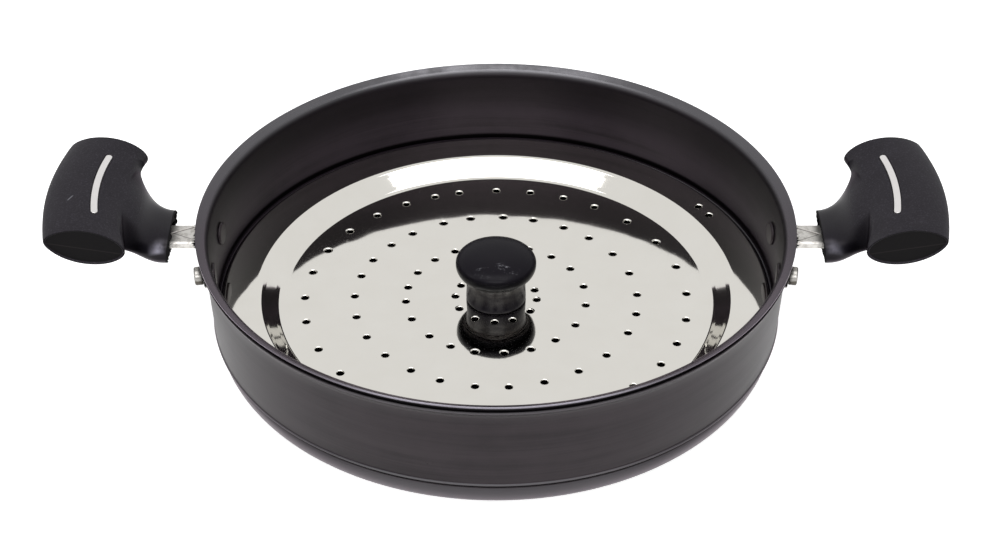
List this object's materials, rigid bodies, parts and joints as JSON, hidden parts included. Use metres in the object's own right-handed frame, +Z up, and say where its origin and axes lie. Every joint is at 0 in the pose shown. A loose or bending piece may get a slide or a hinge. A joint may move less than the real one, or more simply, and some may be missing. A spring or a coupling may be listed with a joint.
{
  "type": "shallow two-handled pan with steamer dish plate",
  "caption": "Shallow round hard-anodised pan with flared lip, moulded side handles on riveted steel brackets, and a lift-out perforated mirror-steel dish plate with a black knob.",
  "frame": {"origin": "Middle of the flat base, on the surface that the pan stands on.", "axes": "+X runs through the right handle, +Y points away from the viewer to the back, +Z is up along the pan's axis."},
  "size_m": [0.4166, 0.28, 0.0858],
  "materials": {
    "anodised": "satin charcoal hard anodising",
    "mirror_steel": "mirror-polished stainless sheet",
    "gloss_bakelite": "semi-gloss black moulding",
    "matte_bakelite": "fine matte texture on dark moulding",
    "bracket_steel": "satin pressed steel",
    "inlay_steel": "brushed steel strip",
    "rivet_metal": "polished aluminium",
    "screw_steel": "bright zinc-plated steel",
    "brass": "turned brass"
  },
  "bodies": {
    "pan": {"pan_body": "anodised", "right_handle_grip": "matte_bakelite", "right_grip_inlay": "inlay_steel", "right_bracket": "bracket_steel", "right_front_rivet": "rivet_metal", "right_rear_rivet": "rivet_metal", "right_handle_screw": "screw_steel", "right_handle_insert": "brass", "left_handle_grip": "matte_bakelite", "left_grip_inlay": "inlay_steel", "left_bracket": "bracket_steel", "left_front_rivet": "rivet_metal", "left_rear_rivet": "rivet_metal", "left_handle_screw": "screw_steel", "left_handle_insert": "brass"},
    "plate": {"dish_plate": "mirror_steel", "knob": "gloss_bakelite", "knob_insert": "brass", "knob_screw": "screw_steel", "knob_washer": "screw_steel"}
  },
  "joints": [
    {"name": "plate_lift", "type": "slide", "parent": "pan", "child": "plate", "axis": [0, 0, 1], "range_m": [0, 0.08]}
  ]
}
